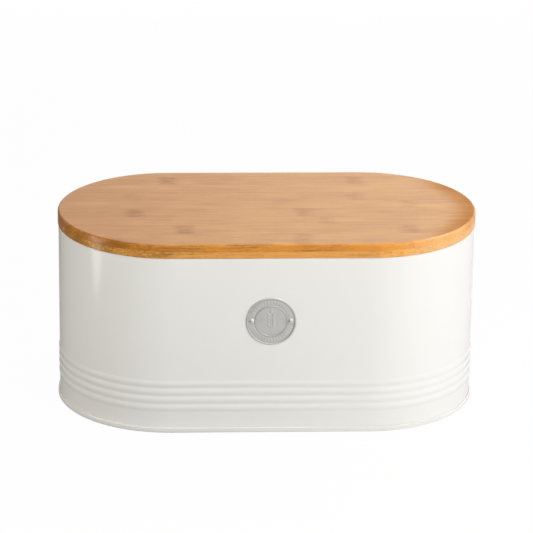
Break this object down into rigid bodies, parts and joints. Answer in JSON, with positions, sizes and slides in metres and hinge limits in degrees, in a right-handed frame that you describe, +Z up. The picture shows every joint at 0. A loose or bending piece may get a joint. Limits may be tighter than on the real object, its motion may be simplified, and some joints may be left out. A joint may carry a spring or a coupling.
{
  "type": "bread box",
  "caption": "Oblong bread box: seamed, enamelled steel bin with a beaded foot and a riveted round badge, closed by a lift-off laminated bamboo lid with a locating plug and seal.",
  "frame": {"origin": "middle of the footprint, on the surface that the box stands on", "axes": "+X along the length, +Y to the back (the badge faces -Y), +Z up"},
  "size_m": [0.337, 0.1804, 0.1575],
  "materials": {
    "enamel": "gloss cream enamel",
    "bamboo": "lacquered bamboo slats",
    "nickel": "satin nickel",
    "silicone": "translucent white silicone"
  },
  "bodies": {
    "bin": {"bin_wall": "enamel", "base_panel": "enamel", "badge_plate": "nickel", "badge_rivet_left": "nickel", "badge_rivet_right": "nickel"},
    "lid": {"lid_upper_slat_1": "bamboo", "lid_upper_slat_2": "bamboo", "lid_upper_slat_3": "bamboo", "lid_upper_slat_4": "bamboo", "lid_upper_slat_5": "bamboo", "lid_upper_slat_6": "bamboo", "lid_upper_slat_7": "bamboo", "lid_upper_slat_8": "bamboo", "lid_upper_slat_9": "bamboo", "lid_upper_slat_10": "bamboo", "lid_lower_slat_1": "bamboo", "lid_lower_slat_2": "bamboo", "lid_lower_slat_3": "bamboo", "lid_lower_slat_4": "bamboo", "lid_lower_slat_5": "bamboo", "lid_lower_slat_6": "bamboo", "lid_lower_slat_7": "bamboo", "lid_lower_slat_8": "bamboo", "lid_lower_slat_9": "bamboo", "lid_plug": "bamboo", "lid_seal": "silicone"}
  },
  "joints": [
    {"name": "lid_lift", "type": "slide", "parent": "bin", "child": "lid", "axis": [0, 0, 1], "range_m": [0, 0.2]}
  ]
}
